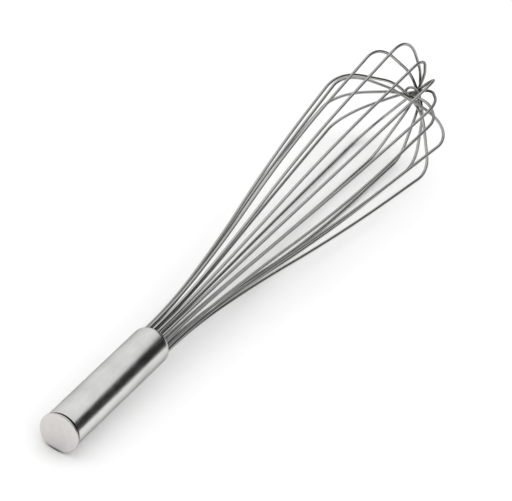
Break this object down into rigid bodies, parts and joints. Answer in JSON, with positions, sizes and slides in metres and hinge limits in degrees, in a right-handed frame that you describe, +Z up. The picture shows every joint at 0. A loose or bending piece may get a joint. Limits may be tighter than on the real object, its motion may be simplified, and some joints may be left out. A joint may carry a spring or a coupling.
{
  "type": "balloon whisk",
  "caption": "Long balloon whisk: a plain round stainless tube handle with a flat end cap, and a pear-shaped cage of round steel wire loops that cross at the tip.",
  "frame": {"origin": "middle of the whisk's footprint, on the surface that it lies on", "axes": "+X along the whisk from the end cap towards the tip of the cage, +Z up; the whisk's own axis rises by about 4 degrees towards +X, because it rests on the rim of the cap and on its two lowest wires"},
  "size_m": [0.466, 0.0838, 0.0896],
  "materials": {
    "handle_steel": "satin polished stainless steel tube",
    "cap_steel": "fine turned stainless steel disc",
    "wire_steel": "bright drawn stainless wire",
    "potting_resin": "grey cast resin",
    "core_plastic": "plain turned plastic"
  },
  "bodies": {
    "root": {"handle_tube": "handle_steel", "end_cap": "cap_steel", "core_plug": "core_plastic", "potting": "potting_resin", "locking_ring": "wire_steel", "wire_loop_1": "wire_steel", "wire_loop_2": "wire_steel", "wire_loop_3": "wire_steel", "wire_loop_4": "wire_steel", "wire_loop_5": "wire_steel", "wire_loop_6": "wire_steel", "wire_loop_7": "wire_steel", "wire_loop_8": "wire_steel"}
  },
  "joints": []
}
